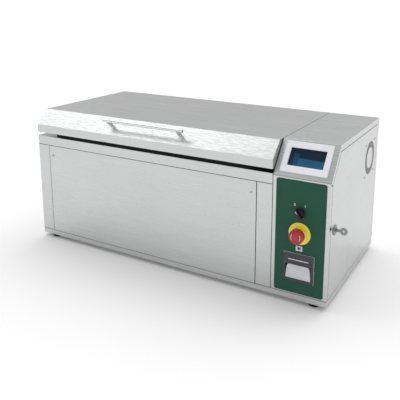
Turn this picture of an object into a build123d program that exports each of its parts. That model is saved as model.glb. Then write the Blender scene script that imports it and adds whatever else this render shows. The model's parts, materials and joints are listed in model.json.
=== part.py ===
from build123d import *
import os
from math import atan2, cos, degrees, hypot, pi, radians, sin

# Bench-top stainless water bath, in millimetres, +Z up. The origin is on the surface that
# the feet stand on, below the middle of the case. The front faces -Y, the control tower
# is at the +X end and the lid is hinged along the rear.

# ---- driving dimensions: the case ----
case_width = 1000.0
case_depth = 455.0
foot_height = 12.0
foot_diameter = 34.0
foot_side_inset = 40.0
foot_end_inset = 24.0
plinth_height = 15.0
rim_height = 340.0          # deck surface above the base
lid_rise = 81.0             # top of tower and lid above the deck
tower_height = rim_height + lid_rise
sheet = 1.5                 # stainless sheet
seam = 1.6                  # open joint between neighbouring panels
lip_height = 18.0           # upstand of the tray behind the panels
corner_return = 10.0        # how far the front sheets wrap round the corners
rear_return = 17.0          # how far the back panel wraps round the corners
landing = 34.0              # strip that the edges of the front panel lie on
post_width = 46.0
pilaster_width = 47.0
rail_height = 29.0
panel_screw_drop = 32.5
panel_screw_inset = 15.0
screw_head = 7.0
screw_shank = 4.0

# ---- the tank ----
tank_left_margin = 73.0     # tank wall to the left end of the case
tank_right_margin = 70.0    # tank wall to the tower
tank_rear_margin = 81.0     # tank wall to the back of the case
tank_floor_height = 98.5    # room under the tank for heaters and drain
tank_depth = rim_height - sheet - tank_floor_height
tank_corner = 12.0
tank_floor_edge = 10.0
grid_height = 22.0
grid_clearance = 6.0
grid_hole = 9.0
grid_pitch = 28.0
grid_foot_inset = 45.0
probe_radius = 3.0
probe_clearance = 1.0       # probe above the grid
insulation = 12.0
heater_thickness = 5.0
gasket_width = 16.0
gasket_front = 12.0         # gasket's front face behind the case front
gasket_overlap = 6.0        # gasket's inner edge outside the tank mouth
gasket_shrink = 0.3         # air left over the gasket with the lid down
tank_width = case_depth - gasket_front - gasket_width - gasket_overlap - tank_rear_margin

# ---- the lid ----
lid_gap = 11.5              # lid edge above the deck
lid_lip = 25.0
lid_slope_depth = 44.0
lid_end_gap = 2.0
lid_insulation_depth = 25.0
handle_length = 288.0
handle_diameter = 10.0
handle_standoff = 30.0
handle_post_diameter = 12.0
handle_post_inset = 20.0
hinge_length = 80.0
hinge_inset = 120.0
hinge_leaf = 2.0
hinge_leaf_height = 36.0
knuckle_radius = 6.0
hinge_pin_radius = 3.0
knuckle_gap = 0.5
pin_clearance = 0.06

# ---- the tower ----
tower_width = 157.0
slope_depth = 67.0
tower_front_drop = 2.0      # foot of the slope below the deck
tower_front_height = rim_height - tower_front_drop
tank_length = case_width - tower_width - tank_left_margin - tank_right_margin
cover_flange = 17.0
slope_flange = 12.4
door_rear_gap = 1.6
door_fold = 10.5
door_pin_inset = 3.5
door_pin_radius = 1.5

# ---- controls on the front ----
label_side_margin = 10.0
label_top_margin = 5.5
label_bottom = 20.0
label_width = tower_width - 2 * label_side_margin
label_height = tower_front_height - label_bottom - label_top_margin
label_thickness = 1.2
switch_height = 247.5
switch_hole = 22.5
switch_collar_diameter = 28.0
switch_throw = 70.0
estop_height = 190.0
estop_disc_diameter = 60.0
estop_head_diameter = 40.0
estop_travel = 4.5
usb_height = 149.0
usb_width = 18.0
usb_body_height = 14.0
printer_width = 84.0
printer_height = 77.0
printer_middle = 94.5
printer_door_width = 70.0
printer_door_height = 40.0
printer_door_bottom = 62.0
hmi_width = 128.0
hmi_height = 88.0
hmi_rise = 56.5             # middle of the operator panel up the slope
hmi_thickness = 4.0
display_width = 97.0
display_height = 51.0

# ---- fan and lock on the service door ----
fan_from_rear = 91.0
fan_from_top = 106.6
fan_size = 112.0
fan_depth = 32.0
fan_screw_spacing = 98.0
vent_outer = 100.0
vent_inner = 66.0
vent_rings = 3
vent_hole = 4.6
vent_pitch = 1.35           # hole spacing round a ring, in hole diameters
lock_from_front = 43.6
lock_height = 200.6
key_reach = 34.0

# ---- drain ----
drain_from_left = 110.0
drain_from_rear = 120.0
drain_height = 48.0
pipe_outer = 11.0
pipe_inner = 8.0
spigot_reach = 33.0
knob_reach = 33.0

# ---- places that follow from them ----
left, right = -case_width / 2, case_width / 2
front, rear = -case_depth / 2, case_depth / 2
base = foot_height
plinth_top = base + plinth_height
lip_top = plinth_top + lip_height
rim = base + rim_height
top = base + tower_height
tower_left = right - tower_width
tower_middle = right - tower_width / 2
slope_foot = base + tower_front_height
panel_line = rim - rail_height
post_line = left + post_width
pilaster_line = tower_left - pilaster_width
lid_bottom = rim + lid_gap
lid_right = tower_left - lid_end_gap
lid_middle = (left + lid_right) / 2
tank_right = tower_left - tank_right_margin
tank_left = tank_right - tank_length
tank_middle_x = (tank_left + tank_right) / 2
tank_middle_y = front + gasket_front + gasket_width + gasket_overlap + tank_width / 2
tank_floor = rim - sheet - tank_depth
grid_top = tank_floor + grid_height
probe_z = grid_top + probe_clearance + probe_radius
panel_left, panel_right = post_line + seam / 2, pilaster_line - seam / 2
panel_bottom, panel_top = plinth_top + seam, panel_line - seam / 2
hinge_y = rear + knuckle_radius + 1.0
hinge_z = rim + lid_gap / 2
door_front = front + corner_return + seam
door_rear = rear - rear_return - door_rear_gap
door_top = top - cover_flange - seam
door_axis_x = right - door_pin_inset
door_axis_y = door_rear - door_pin_inset
fan_y, fan_z = rear - fan_from_rear, top - fan_from_top
lock_y, lock_z = front + lock_from_front, base + lock_height
label_face = front - label_thickness
drain_x, drain_y, drain_z = left + drain_from_left, rear - drain_from_rear, base + drain_height

front_plane = Plane(origin=(0, front, 0), x_dir=(1, 0, 0), z_dir=(0, -1, 0))
label_plane = Plane(origin=(0, label_face, 0), x_dir=(1, 0, 0), z_dir=(0, -1, 0))
side_plane = Plane(origin=(right, 0, 0), x_dir=(0, 1, 0), z_dir=(1, 0, 0))
slope_run = hypot(slope_depth, top - slope_foot)
slope_normal = (0, slope_foot - top, slope_depth)
slope_plane = Plane(origin=(tower_middle, front, slope_foot), x_dir=(1, 0, 0), z_dir=slope_normal)
lid_lip_top = lid_bottom + lid_lip
lid_slope_run = hypot(lid_slope_depth, top - lid_lip_top)
lid_slope_plane = Plane(
    origin=(lid_middle, front, lid_lip_top), x_dir=(1, 0, 0),
    z_dir=(0, lid_lip_top - top, lid_slope_depth),
)

os.makedirs("parts", exist_ok=True)


def box_between(x, y, z, mode=Mode.ADD):
    """Box between two limits on each axis."""
    with Locations(((x[0] + x[1]) / 2, (y[0] + y[1]) / 2, (z[0] + z[1]) / 2)):
        Box(x[1] - x[0], y[1] - y[0], z[1] - z[0], mode=mode)


def rod(start, direction, radius, length, mode=Mode.ADD):
    """Round bar that grows from a start point along a direction."""
    with Locations(Plane(origin=start, z_dir=direction)):
        Cylinder(radius, length, align=(Align.CENTER, Align.CENTER, Align.MIN), mode=mode)


def side_outline(foot_z, depth, bottom, inset=0.0):
    """(y, z) outline of a slant-fronted housing, drawn inset from front, slope, top and rear."""
    rise = top - foot_z
    run = hypot(depth, rise)
    foot = foot_z + inset * (rise - run) / depth
    crest = front + (inset * run + (rise - inset) * depth) / rise
    return [
        (front + inset, bottom), (front + inset, foot), (crest, top - inset),
        (rear - inset, top - inset), (rear - inset, bottom),
    ]


def slope_line(distance, z):
    """y of the line a set distance behind the tower's slope, at a height z."""
    rise = top - slope_foot
    return front + (distance * slope_run + (z - slope_foot) * slope_depth) / rise


def finish(piece, name):
    """Label one finished piece and write it out."""
    piece.part.label = name
    export_step(piece.part, f"parts/{name}.step")


# ---------------------------------------------------------------- base and feet
foot_spots = [
    (x, y)
    for x in (left + foot_side_inset, right - foot_side_inset)
    for y in (front + foot_end_inset, rear - foot_end_inset)
]
foot_bolt = 4.0

with BuildPart() as base_tray:
    box_between((left, right), (front, rear), (base, plinth_top))
    box_between((left + sheet, right - sheet), (front + sheet, rear - sheet), (base, lip_top))
    box_between(
        (left + 2 * sheet, right - 2 * sheet), (front + 2 * sheet, rear - 2 * sheet),
        (base + sheet, lip_top), mode=Mode.SUBTRACT,
    )
    box_between(
        (right - 2 * sheet, right), (front + 2 * sheet, rear - 2 * sheet),
        (plinth_top, lip_top), mode=Mode.SUBTRACT,
    )
    for x, y in foot_spots:
        rod((x, y, base - 1), (0, 0, 1), foot_bolt + 0.1, sheet + 2, mode=Mode.SUBTRACT)
finish(base_tray, "base_tray")

with BuildPart() as rubber_feet:
    with BuildSketch() as foot_rings:
        with Locations(*foot_spots):
            Circle(foot_diameter / 2)
            Circle(foot_bolt + 0.1, mode=Mode.SUBTRACT)
    extrude(amount=foot_height)
    chamfer(rubber_feet.edges().filter_by(GeomType.CIRCLE).group_by(Axis.Z)[0]
            .filter_by(lambda e: e.radius > foot_bolt + 1), 1.5)
finish(rubber_feet, "rubber_feet")

with BuildPart() as foot_bolts:
    for x, y in foot_spots:
        rod((x, y, 4), (0, 0, 1), foot_bolt, base + sheet + 8 - 4)
        rod((x, y, base + sheet), (0, 0, 1), foot_bolt + 3.5, 5)
finish(foot_bolts, "foot_bolts")

# ---------------------------------------------------------------- front of the bath
with BuildPart() as left_corner_post:
    box_between((left, post_line - seam / 2), (front, front + sheet), (panel_bottom, panel_top))
    box_between((left, left + sheet), (front, front + corner_return), (panel_bottom, panel_top))
    box_between((left + sheet, post_line + landing), (front + sheet, front + 2 * sheet),
                (lip_top + seam, rim - 2 * sheet))
    box_between((left + sheet, left + 2 * sheet), (front + sheet, front + 2.5 * corner_return),
                (lip_top + seam, rim - 2 * sheet))
    rod((panel_left + panel_screw_inset, front, panel_line - panel_screw_drop), (0, 1, 0),
        screw_shank / 2 + 0.05, 10, mode=Mode.SUBTRACT)
finish(left_corner_post, "left_corner_post")

with BuildPart() as right_pilaster:
    box_between((pilaster_line + seam / 2, tower_left - seam / 2), (front, front + sheet),
                (panel_bottom, panel_top))
    box_between((pilaster_line - landing, tower_left), (front + sheet, front + 2 * sheet),
                (lip_top + seam, rim - 2 * sheet))
    box_between((tower_left - sheet, tower_left), (front + 2 * sheet, front + 14),
                (lip_top + seam, rim - 2 * sheet))
    rod((panel_right - panel_screw_inset, front, panel_line - panel_screw_drop), (0, 1, 0),
        screw_shank / 2 + 0.05, 10, mode=Mode.SUBTRACT)
finish(right_pilaster, "right_pilaster")

with BuildPart() as front_rail:
    box_between((left, tower_left - seam / 2), (front, front + sheet),
                (panel_line + seam / 2, rim - sheet))
    box_between((left, left + sheet), (front, front + corner_return),
                (panel_line + seam / 2, rim - sheet))
    box_between((post_line + landing + 1, pilaster_line - landing - 1),
                (front + sheet, front + 2 * sheet), (panel_line - 14, rim - sheet))
finish(front_rail, "front_rail")

panel_screw_spots = [
    (x, panel_line - panel_screw_drop)
    for x in (panel_left + panel_screw_inset, panel_right - panel_screw_inset)
]
with BuildPart() as front_panel:
    box_between((panel_left, panel_right), (front, front + sheet), (panel_bottom, panel_top))
    for z in (lip_top + 2, panel_line - 20):
        box_between((post_line + landing + 2, pilaster_line - landing - 2),
                    (front + sheet, front + 12), (z, z + sheet))
    for x, z in panel_screw_spots:
        rod((x, front - 1, z), (0, 1, 0), screw_shank / 2 + 0.05, sheet + 2, mode=Mode.SUBTRACT)
finish(front_panel, "front_panel")

with BuildPart() as front_panel_screws:
    for x, z in panel_screw_spots:
        rod((x, front, z), (0, -1, 0), screw_head / 2, 2.0)
        rod((x, front, z), (0, 1, 0), screw_shank / 2, 8)
finish(front_panel_screws, "front_panel_screws")

# ---------------------------------------------------------------- side and back
knob_shaft = 4.0
knob_z = drain_z
valve_y = rear - 66.0
inlet_z = base + 62.0
inlet_width, inlet_height_mm = 50.0, 27.0

with BuildPart() as left_side_panel:
    box_between((left, left + sheet), (front + corner_return + seam, rear - rear_return - seam),
                (panel_bottom, rim - sheet))
    rod((left - 1, valve_y, knob_z), (1, 0, 0), knob_shaft + 1.0, sheet + 2, mode=Mode.SUBTRACT)
finish(left_side_panel, "left_side_panel")

with BuildPart() as back_panel:
    box_between((left, right), (rear - sheet, rear), (panel_bottom, rim - sheet))
    box_between((tower_left, right - sheet), (rear - sheet, rear), (rim - sheet, top - sheet))
    box_between((tower_left, right), (rear - sheet, rear), (rim - sheet, door_top))
    box_between((left, left + sheet), (rear - rear_return, rear), (panel_bottom, rim - sheet))
    box_between((right - sheet, right), (rear - rear_return, rear), (panel_bottom, door_top))
    box_between((tower_left + sheet, tower_left + 2 * sheet), (rear - 14, rear - sheet),
                (lip_top + seam, top - 2 * sheet))
    rod((drain_x, rear - 5, drain_z), (0, 1, 0), pipe_outer + 0.5, 10, mode=Mode.SUBTRACT)
    box_between((tower_middle - 15, tower_middle + 15), (rear - 5, rear + 5),
                (inlet_z - 11, inlet_z + 11), mode=Mode.SUBTRACT)
    for row in range(6):
        z = base + 150 + 14 * row
        box_between((tower_middle - 40, tower_middle + 40), (rear - 5, rear + 5), (z, z + 5),
                    mode=Mode.SUBTRACT)
finish(back_panel, "back_panel")

# ---------------------------------------------------------------- deck, tank and what it holds
gasket_inner_x = tank_length / 2 + gasket_overlap
gasket_inner_y = tank_width / 2 + gasket_overlap

with BuildPart() as tank_deck:
    box_between((left, tower_left), (front, rear), (rim - sheet, rim))
    with BuildSketch(Plane.XY.offset(rim)) as mouth:
        with Locations((tank_middle_x, tank_middle_y)):
            RectangleRounded(tank_length, tank_width, tank_corner)
    extrude(amount=-2 * sheet, mode=Mode.SUBTRACT)
finish(tank_deck, "tank_deck")

with BuildPart() as tank:
    with BuildSketch(Plane.XY.offset(rim - sheet)) as tank_outside:
        with Locations((tank_middle_x, tank_middle_y)):
            RectangleRounded(tank_length + 2 * sheet, tank_width + 2 * sheet, tank_corner + sheet)
    extrude(amount=-(tank_depth + sheet))
    fillet(tank.faces().sort_by(Axis.Z)[0].edges(), tank_floor_edge + sheet)
    with BuildPart(mode=Mode.PRIVATE) as tank_hollow:
        with BuildSketch(Plane.XY.offset(rim - sheet)):
            with Locations((tank_middle_x, tank_middle_y)):
                RectangleRounded(tank_length, tank_width, tank_corner)
        extrude(amount=-tank_depth)
        fillet(tank_hollow.faces().sort_by(Axis.Z)[0].edges(), tank_floor_edge)
    add(tank_hollow.part, mode=Mode.SUBTRACT)
    rod((drain_x, drain_y, tank_floor - 5), (0, 0, 1), pipe_outer + 0.1, 10, mode=Mode.SUBTRACT)
    rod((tank_right - 5, tank_middle_y, probe_z), (1, 0, 0), probe_radius + 0.1, 10,
        mode=Mode.SUBTRACT)
finish(tank, "tank")

with BuildPart() as lid_gasket:
    with BuildSketch(Plane.XY.offset(rim)) as gasket_ring:
        with Locations((tank_middle_x, tank_middle_y)):
            RectangleRounded(2 * (gasket_inner_x + gasket_width), 2 * (gasket_inner_y + gasket_width),
                             tank_corner + gasket_overlap + gasket_width)
            RectangleRounded(2 * gasket_inner_x, 2 * gasket_inner_y,
                             tank_corner + gasket_overlap, mode=Mode.SUBTRACT)
    extrude(amount=lid_gap - gasket_shrink)
finish(lid_gasket, "lid_gasket")

grid_length = tank_length - 2 * grid_clearance - 2 * tank_floor_edge
grid_width = tank_width - 2 * grid_clearance - 2 * tank_floor_edge
grid_columns = int((grid_length - 2 * grid_hole) / grid_pitch)
grid_rows = int((grid_width - 2 * grid_hole) / grid_pitch)
with BuildPart() as tank_grid:
    with BuildSketch(Plane.XY.offset(grid_top)) as grid_sheet:
        with Locations((tank_middle_x, tank_middle_y)):
            RectangleRounded(grid_length, grid_width, tank_corner - grid_clearance)
            with GridLocations(grid_pitch, grid_pitch, grid_columns, grid_rows):
                Circle(grid_hole / 2, mode=Mode.SUBTRACT)
    extrude(amount=-sheet)
    for x in (-1, 1):
        for y in (-1, 1):
            foot_x = tank_middle_x + x * (grid_length / 2 - grid_foot_inset)
            foot_y = tank_middle_y + y * (grid_width / 2 - grid_foot_inset)
            box_between((foot_x - 5, foot_x + 5), (foot_y - 5, foot_y + 5),
                        (tank_floor, grid_top - sheet))
finish(tank_grid, "tank_grid")

heater_left, heater_right = tank_left + 125, tank_right - 35
heater_gap = 40.0
heater_length = (heater_right - heater_left - heater_gap) / 2
heater_width = tank_width - 120
with BuildPart() as heater_mats:
    for x in (heater_left + heater_length / 2, heater_right - heater_length / 2):
        box_between((x - heater_length / 2, x + heater_length / 2),
                    (tank_middle_y - heater_width / 2, tank_middle_y + heater_width / 2),
                    (tank_floor - sheet - heater_thickness, tank_floor - sheet))
finish(heater_mats, "heater_mats")

with BuildPart() as tank_insulation:
    with BuildSketch(Plane.XY.offset(rim - sheet - 2)) as wrap:
        with Locations((tank_middle_x, tank_middle_y)):
            RectangleRounded(tank_length + 2 * (sheet + insulation), tank_width + 2 * (sheet + insulation),
                             tank_corner + sheet + insulation)
            RectangleRounded(tank_length + 2 * sheet, tank_width + 2 * sheet, tank_corner + sheet,
                             mode=Mode.SUBTRACT)
    extrude(amount=-(tank_depth - 40))
finish(tank_insulation, "tank_insulation")

with BuildPart() as temperature_probe:
    rod((tank_right - 70, tank_middle_y, probe_z), (1, 0, 0), probe_radius, 90)
    rod((tank_right + sheet, tank_middle_y, probe_z), (1, 0, 0), 8.0, 12)
finish(temperature_probe, "temperature_probe")

# ---------------------------------------------------------------- drain
valve_front, valve_back = valve_y - 24, valve_y + 24
valve_radius = 17.0
ball_radius = 11.5
ball_bore = 7.0
with BuildPart() as drain_pipe:
    rod((drain_x, drain_y, drain_z - pipe_outer), (0, 0, 1), pipe_outer,
        tank_floor - drain_z + pipe_outer)
    rod((drain_x, drain_y, drain_z), (0, 1, 0), pipe_outer, valve_front - drain_y)
    rod((drain_x, drain_y, drain_z - pipe_inner), (0, 0, 1), pipe_inner,
        tank_floor - drain_z + pipe_inner + 5, mode=Mode.SUBTRACT)
    rod((drain_x, drain_y, drain_z), (0, 1, 0), pipe_inner, valve_front - drain_y + 1,
        mode=Mode.SUBTRACT)
finish(drain_pipe, "drain_pipe")

with BuildPart() as drain_valve:
    rod((drain_x, valve_front, drain_z), (0, 1, 0), valve_radius, valve_back - valve_front)
    rod((drain_x, valve_y, drain_z), (-1, 0, 0), 9, valve_radius + 8)
    with Locations((drain_x, valve_y, drain_z)):
        Sphere(ball_radius + 0.3, mode=Mode.SUBTRACT)
    rod((drain_x, valve_front - 1, drain_z), (0, 1, 0), pipe_inner, valve_back - valve_front + 2,
        mode=Mode.SUBTRACT)
    rod((drain_x, valve_y, drain_z), (-1, 0, 0), knob_shaft + pin_clearance, valve_radius + 9,
        mode=Mode.SUBTRACT)
finish(drain_valve, "drain_valve")

with BuildPart() as drain_spigot:
    rod((drain_x, valve_back, drain_z), (0, 1, 0), pipe_outer, rear + spigot_reach - valve_back)
    rod((drain_x, rear + 1, drain_z), (0, 1, 0), pipe_outer + 4, 4)
    rod((drain_x, valve_back - 1, drain_z), (0, 1, 0), pipe_inner,
        rear + spigot_reach - valve_back + 2, mode=Mode.SUBTRACT)
finish(drain_spigot, "drain_spigot")

with BuildPart() as drain_stem:
    with Locations((drain_x, valve_y, drain_z)):
        Sphere(ball_radius)
    rod((drain_x, valve_y, drain_z - ball_radius), (0, 0, 1), ball_bore, 2 * ball_radius,
        mode=Mode.SUBTRACT)
    rod((drain_x - ball_bore - 1, valve_y, drain_z), (-1, 0, 0), knob_shaft,
        drain_x - ball_bore - 1 - left + 12)
finish(drain_stem, "drain_stem")

with BuildPart() as drain_knob:
    rod((left - 2, valve_y, knob_z), (-1, 0, 0), 17, knob_reach - 2 - 12)
    box_between((left - knob_reach, left - 2), (valve_y - 5, valve_y + 5), (knob_z - 22, knob_z + 22))
    fillet(drain_knob.edges().filter_by(Axis.X), 2)
    rod((left - 1, valve_y, knob_z), (-1, 0, 0), knob_shaft + 0.05, 11.1, mode=Mode.SUBTRACT)
finish(drain_knob, "drain_knob")

# ---------------------------------------------------------------- tower sheets
partition_floor = base + sheet
with BuildPart() as tower_partition:
    with BuildSketch(Plane.YZ.offset(tower_left)) as partition_face:
        with BuildLine():
            Polyline(*side_outline(slope_foot, slope_depth, partition_floor, sheet), close=True)
        make_face()
        for y in (front + sheet, rear - 2 * sheet):
            with Locations((y + sheet / 2, (partition_floor + top) / 2)):
                Rectangle(sheet, top - partition_floor, mode=Mode.SUBTRACT)
    extrude(amount=sheet)
finish(tower_partition, "tower_partition")


def control_holes(depth):
    """Holes through the tower front for the controls, cut from just outside the label."""
    start = label_face - 1
    for z in (switch_height, estop_height):
        rod((tower_middle, start, base + z), (0, 1, 0), switch_hole / 2, depth, mode=Mode.SUBTRACT)
    box_between((tower_middle - usb_width / 2 + 1, tower_middle + usb_width / 2 - 1),
                (start, start + depth),
                (base + usb_height - usb_body_height / 2 + 1, base + usb_height + usb_body_height / 2 - 1),
                mode=Mode.SUBTRACT)
    box_between((tower_middle - printer_width / 2 + 3, tower_middle + printer_width / 2 - 3),
                (start, start + depth),
                (base + printer_middle - printer_height / 2 + 3,
                 base + printer_middle + printer_height / 2 - 3), mode=Mode.SUBTRACT)


front_fold = 12.5
with BuildPart() as tower_front:
    box_between((tower_left, right), (front, front + sheet), (panel_bottom, slope_foot - 1.2))
    box_between((right - sheet, right), (front, front + corner_return),
                (panel_bottom, slope_foot - 9))
    box_between((right - sheet - front_fold, right), (front + corner_return - sheet,
                front + corner_return), (lip_top + 2, slope_foot - 9))
    box_between((tower_left + sheet, tower_left + 2 * sheet), (front + sheet, front + 12),
                (lip_top + seam, slope_foot - 9))
    control_holes(8)
finish(tower_front, "tower_front")

with BuildPart() as label_panel:
    with BuildSketch(front_plane) as label_face_outline:
        with Locations((tower_middle, base + label_bottom + label_height / 2)):
            RectangleRounded(label_width, label_height, 6)
    extrude(amount=label_thickness)
    control_holes(8)
finish(label_panel, "label_panel")

crest_y = front + slope_depth
with BuildPart() as tower_cover:
    with BuildSketch(Plane.YZ.offset(tower_left)) as cover_section:
        outer = side_outline(slope_foot, slope_depth, slope_foot, 0)
        inner = side_outline(slope_foot, slope_depth, slope_foot, sheet)
        end = (front + sheet * (top - slope_foot) / slope_run,
               slope_foot - sheet * slope_depth / slope_run)
        with BuildLine():
            Polyline(outer[1], outer[2], (rear, top), (rear, top - sheet), inner[2], end, close=True)
        make_face()
    extrude(amount=tower_width)
    flange_foot = slope_foot - slope_flange * slope_depth / slope_run
    with BuildSketch(Plane.YZ.offset(right - sheet)) as cover_side:
        with BuildLine():
            Polyline(
                (front, slope_foot), (crest_y, top), (rear, top), (rear, top - cover_flange),
                (slope_line(slope_flange, top - cover_flange), top - cover_flange),
                (front + slope_flange * (top - slope_foot) / slope_run, flange_foot), close=True,
            )
        make_face()
    extrude(amount=sheet)
    with BuildSketch(slope_plane) as operator_panel_hole:
        with Locations((0, hmi_rise)):
            Rectangle(hmi_width - 10, hmi_height - 10)
    extrude(amount=-10, mode=Mode.SUBTRACT)
finish(tower_cover, "tower_cover")

# ---------------------------------------------------------------- operator panel
hmi_depth = 32.0
with BuildPart() as hmi_bezel:
    with BuildSketch(slope_plane) as bezel_outline:
        with Locations((0, hmi_rise)):
            RectangleRounded(hmi_width, hmi_height, 3)
            Rectangle(display_width, display_height, mode=Mode.SUBTRACT)
    extrude(amount=hmi_thickness)
    chamfer(hmi_bezel.faces().sort_by(Axis(slope_plane.origin, slope_plane.z_dir))[-1]
            .inner_wires().edges(), 1.0)
finish(hmi_bezel, "hmi_bezel")

with BuildPart() as hmi_display:
    with BuildSketch(slope_plane) as glass_outline:
        with Locations((0, hmi_rise)):
            Rectangle(display_width - 0.4, display_height - 0.4)
    extrude(amount=hmi_thickness - 1.5)
finish(hmi_display, "hmi_display")

with BuildPart() as hmi_housing:
    with BuildSketch(slope_plane) as housing_outline:
        with Locations((0, hmi_rise)):
            Rectangle(hmi_width - 11, hmi_height - 11)
    extrude(amount=-hmi_depth)
    fillet(hmi_housing.edges().filter_by(Axis(slope_plane.origin, slope_plane.z_dir)), 3)
finish(hmi_housing, "hmi_housing")

# ---------------------------------------------------------------- main switch
barrel_radius = switch_hole / 2 - 0.25
knob_radius = 11.5
switch_shaft = 4.5
barrel_back = front + 14
block_back = front + 52
switch_z = base + switch_height
with BuildPart() as switch_collar:
    rod((tower_middle, label_face, switch_z), (0, -1, 0), switch_collar_diameter / 2, 4)
    chamfer(switch_collar.edges().filter_by(GeomType.CIRCLE).sort_by(Axis.Y)[0], 1.2)
    rod((tower_middle, label_face, switch_z), (0, 1, 0), barrel_radius, barrel_back - label_face)
    rod((tower_middle, label_face - 5, switch_z), (0, 1, 0), switch_shaft + pin_clearance, 30,
        mode=Mode.SUBTRACT)
finish(switch_collar, "switch_collar")

knob_face = label_face - 4.3
with BuildPart() as switch_knob:
    rod((tower_middle, knob_face, switch_z), (0, -1, 0), knob_radius, 7)
    rod((tower_middle, knob_face, switch_z), (0, 1, 0), switch_shaft, barrel_back - knob_face)
    turned = Plane(origin=(tower_middle, knob_face, switch_z), z_dir=(0, -1, 0),
                   x_dir=(cos(radians(switch_throw / 2)), 0, sin(radians(switch_throw / 2))))
    with BuildSketch(turned) as lever:
        SlotOverall(2 * knob_radius + 6, 8, rotation=90)
    extrude(amount=17)
    fillet(switch_knob.faces().sort_by(Axis.Y)[0].edges(), 1.2)
finish(switch_knob, "switch_knob")

# ---------------------------------------------------------------- emergency stop
estop_z = base + estop_height
disc_face = label_face - 1.5
collar_face = disc_face - 5
head_back = collar_face - estop_travel - 0.8
head_front = front - 32.0
stem_radius = 6.0
stem_tip = head_back - 6
with BuildPart() as estop_disc:
    with BuildSketch(label_plane) as disc_outline:
        with Locations((tower_middle, estop_z)):
            Circle(estop_disc_diameter / 2)
            Circle(barrel_radius + 0.1, mode=Mode.SUBTRACT)
    extrude(amount=label_face - disc_face)
finish(estop_disc, "estop_disc")

with BuildPart() as estop_collar:
    rod((tower_middle, disc_face, estop_z), (0, -1, 0), 14.5, disc_face - collar_face)
    rod((tower_middle, disc_face, estop_z), (0, 1, 0), barrel_radius, barrel_back - disc_face)
    rod((tower_middle, collar_face - 1, estop_z), (0, 1, 0), stem_radius + pin_clearance, 40,
        mode=Mode.SUBTRACT)
finish(estop_collar, "estop_collar")

with BuildPart() as estop_stem:
    rod((tower_middle, stem_tip, estop_z), (0, 1, 0), stem_radius,
        barrel_back - estop_travel - 0.8 - stem_tip)
finish(estop_stem, "estop_stem")

with BuildPart() as estop_head:
    with BuildSketch(Plane.YZ.offset(tower_middle)) as head_section:
        with BuildLine():
            Polyline((head_back, estop_z), (head_back, estop_z + 15),
                     (head_back - 3, estop_z + estop_head_diameter / 2),
                     (head_front + 5, estop_z + estop_head_diameter / 2))
            ThreePointArc((head_front + 5, estop_z + estop_head_diameter / 2),
                          (head_front + 1.5, estop_z + estop_head_diameter / 2 - 5.5),
                          (head_front, estop_z + estop_head_diameter / 2 - 12))
            Polyline((head_front, estop_z + estop_head_diameter / 2 - 12), (head_front, estop_z),
                     (head_back, estop_z))
        make_face()
    revolve(axis=Axis((tower_middle, 0, estop_z), (0, 1, 0)))
    rod((tower_middle, stem_tip - 0.1, estop_z), (0, 1, 0), stem_radius + pin_clearance, 20,
        mode=Mode.SUBTRACT)
finish(estop_head, "estop_head")

with BuildPart() as contact_blocks:
    for z in (switch_z, estop_z):
        box_between((tower_middle - 15, tower_middle + 15), (barrel_back, block_back),
                    (z - 20, z + 20))
finish(contact_blocks, "contact_blocks")

# ---------------------------------------------------------------- data socket
usb_z = base + usb_height
with BuildPart() as usb_socket:
    with BuildSketch(label_plane) as socket_face:
        with Locations((tower_middle, usb_z)):
            RectangleRounded(usb_width, usb_body_height, 1.2)
    extrude(amount=1.2)
    box_between((tower_middle - usb_width / 2 + 1.2, tower_middle + usb_width / 2 - 1.2),
                (label_face, front + 18),
                (usb_z - usb_body_height / 2 + 1.2, usb_z + usb_body_height / 2 - 1.2))
    box_between((tower_middle - 4.6, tower_middle + 4.6), (label_face - 2, front + 10),
                (usb_z - 4.2, usb_z + 4.2), mode=Mode.SUBTRACT)
    box_between((tower_middle - 2.6, tower_middle + 2.6), (front + 5, front + 11),
                (usb_z - 1.6, usb_z + 1.6))
finish(usb_socket, "usb_socket")

# ---------------------------------------------------------------- printer
printer_z = base + printer_middle
printer_left, printer_right = tower_middle - printer_width / 2, tower_middle + printer_width / 2
printer_face = label_face - 3.5
bay_left, bay_right = printer_left + 4, printer_right - 4
bay_bottom, bay_top = printer_z - printer_height / 2 + 4, printer_z + printer_height / 2 - 4
bay_back = front + 62
door_bottom_z = base + printer_door_bottom
door_hinge_radius = 3.0
door_hinge_y = printer_face + door_hinge_radius
door_hinge_z = door_bottom_z + door_hinge_radius
door_play = 0.5
door_half = printer_door_width / 2
door_pin = 1.5

with BuildPart() as printer_frame:
    with BuildSketch(label_plane) as frame_outline:
        with Locations((tower_middle, printer_z)):
            RectangleRounded(printer_width, printer_height, 2)
    extrude(amount=label_face - printer_face)
    box_between((bay_left, bay_right), (label_face, front + 6), (bay_bottom, bay_top))
    box_between((tower_middle - door_half - door_play, tower_middle + door_half + door_play),
                (printer_face - 1, front + 7),
                (door_bottom_z - door_play, door_bottom_z + printer_door_height + door_play),
                mode=Mode.SUBTRACT)
    box_between((tower_middle - 30, tower_middle + 30), (printer_face - 1, front + 7),
                (base + 115, base + 117.5), mode=Mode.SUBTRACT)
    rod((tower_middle - door_half - 2.6, door_hinge_y, door_hinge_z), (1, 0, 0),
        door_pin + pin_clearance, printer_door_width + 5.2, mode=Mode.SUBTRACT)
finish(printer_frame, "printer_frame")

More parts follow.
